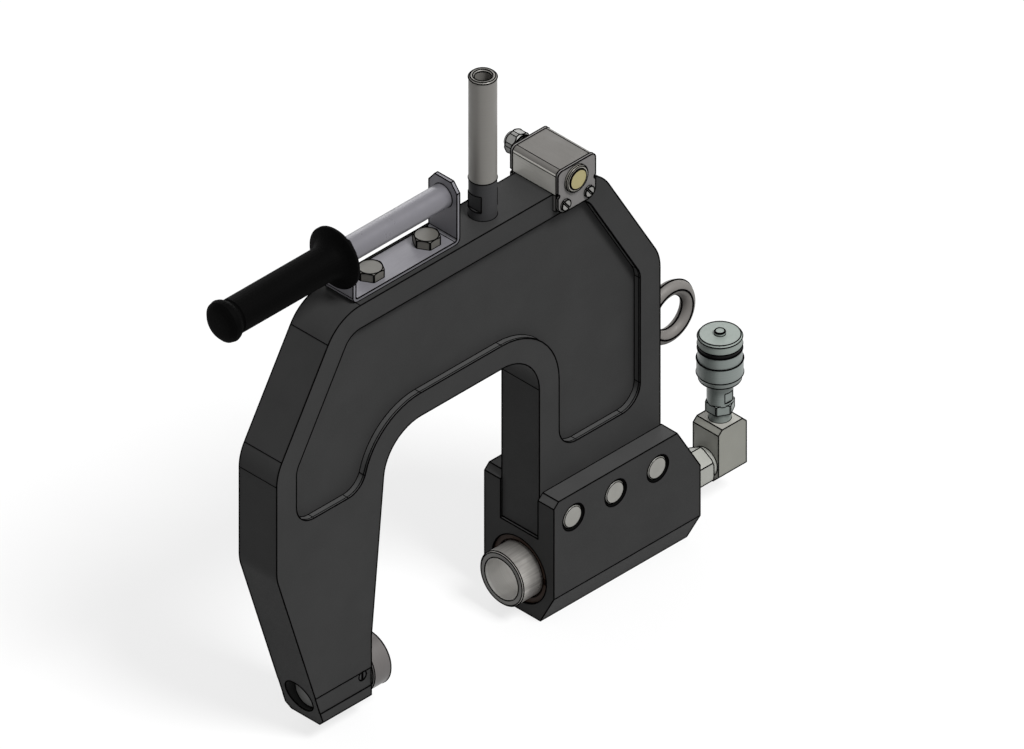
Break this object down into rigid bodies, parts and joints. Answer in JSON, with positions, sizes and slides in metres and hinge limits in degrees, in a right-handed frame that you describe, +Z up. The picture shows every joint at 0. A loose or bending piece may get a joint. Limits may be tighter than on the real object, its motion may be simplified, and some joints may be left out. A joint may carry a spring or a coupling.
{
  "type": "hydraulic riveter",
  "caption": "C-frame hydraulic riveter with a fixed anvil, a spring-return ram, a side grip, an upright handle, a push-button box, a lifting eye and a hose coupler.",
  "frame": {"origin": "centre of the anvil's face, on the riveting axis", "axes": "+X from the anvil to the ram along the riveting axis, +Y towards the face with the cable gland, away from the push-button, +Z up towards the handles"},
  "size_m": [0.5532, 0.0829, 0.513],
  "materials": {
    "frame_iron": "satin",
    "ground_steel": "satin",
    "black_screws": "satin",
    "zinc_steel": "satin",
    "zinc_sheet": "satin",
    "brown_seal": "matte",
    "brown_ring": "satin",
    "gland_bronze": "satin",
    "black_rubber": "matte",
    "grip_rubber": "matte",
    "spring_steel": "satin",
    "bolt_steel": "satin",
    "tube_steel": "satin",
    "box_sheet": "satin",
    "bezel_metal": "satin",
    "button_plastic": "matte",
    "switch_plastic": "matte",
    "plated_brass": "satin",
    "bright_steel": "satin",
    "elbow_steel": "satin",
    "coupler_steel": "satin",
    "cap_plastic": "matte"
  },
  "bodies": {
    "tool": {"c_frame": "frame_iron", "anvil": "ground_steel", "anvil_set_screw": "black_screws", "cylinder_block": "frame_iron", "clamp_pins": "zinc_steel", "return_spring": "spring_steel", "guide_bolt": "black_screws", "gland_bush": "gland_bronze", "rod_seal": "brown_seal", "rod_wiper": "brown_seal", "gland_o_ring": "black_rubber", "gland_circlip": "brown_ring", "rear_cover": "black_screws", "rear_cover_o_ring": "black_rubber", "handle_bracket": "zinc_sheet", "bracket_bolts": "bolt_steel", "handle_bar": "zinc_steel", "grip": "grip_rubber", "handle_socket": "frame_iron", "handle_tube": "tube_steel", "eye_bolt": "bolt_steel", "switch_saddle": "zinc_sheet", "switch_cover": "box_sheet", "switch_front_plate": "box_sheet", "switch_rear_plate": "box_sheet", "plate_screws": "zinc_steel", "button_bezel": "bezel_metal", "button_spring": "spring_steel", "button_nut": "bezel_metal", "switch_block": "switch_plastic", "gland_body": "plated_brass", "gland_nut": "plated_brass", "gland_seal": "black_rubber", "adapter_seal": "black_rubber", "port_adapter": "bright_steel", "elbow_block": "elbow_steel", "coupler_body": "coupler_steel", "sleeve_spring": "spring_steel", "locking_balls": "ground_steel", "poppet_spring": "spring_steel", "coupler_seal": "black_rubber"},
    "ram": {"ram": "ground_steel", "piston_seal": "brown_seal", "piston_guide_ring": "brown_seal", "spring_retainer": "black_screws"},
    "button": {"button_cap": "button_plastic"},
    "sleeve": {"coupler_sleeve": "coupler_steel"},
    "poppet": {"coupler_poppet": "ground_steel"},
    "cap": {"cap_band": "black_rubber", "dust_cap": "cap_plastic"}
  },
  "joints": [
    {"name": "ram_slide", "type": "slide", "parent": "tool", "child": "ram", "axis": [-1, 0, 0], "range_m": [0, 0.06], "stiffness_N_per_m": 2000, "springref_m": -0.02, "deforming": ["return_spring"]},
    {"name": "button_press", "type": "slide", "parent": "tool", "child": "button", "axis": [0, 1, 0], "range_m": [0, 0.0025], "stiffness_N_per_m": 300, "springref_m": -0.002, "deforming": ["button_spring"]},
    {"name": "sleeve_slide", "type": "slide", "parent": "tool", "child": "sleeve", "axis": [0, 0, -1], "range_m": [0, 0.005], "stiffness_N_per_m": 800, "springref_m": -0.003, "deforming": ["sleeve_spring"]},
    {"name": "poppet_slide", "type": "slide", "parent": "tool", "child": "poppet", "axis": [0, 0, -1], "range_m": [0, 0.003], "stiffness_N_per_m": 500, "springref_m": -0.002, "deforming": ["poppet_spring"]},
    {"name": "cap_lift", "type": "slide", "parent": "tool", "child": "cap", "axis": [0, 0, 1], "range_m": [0, 0.03]}
  ]
}
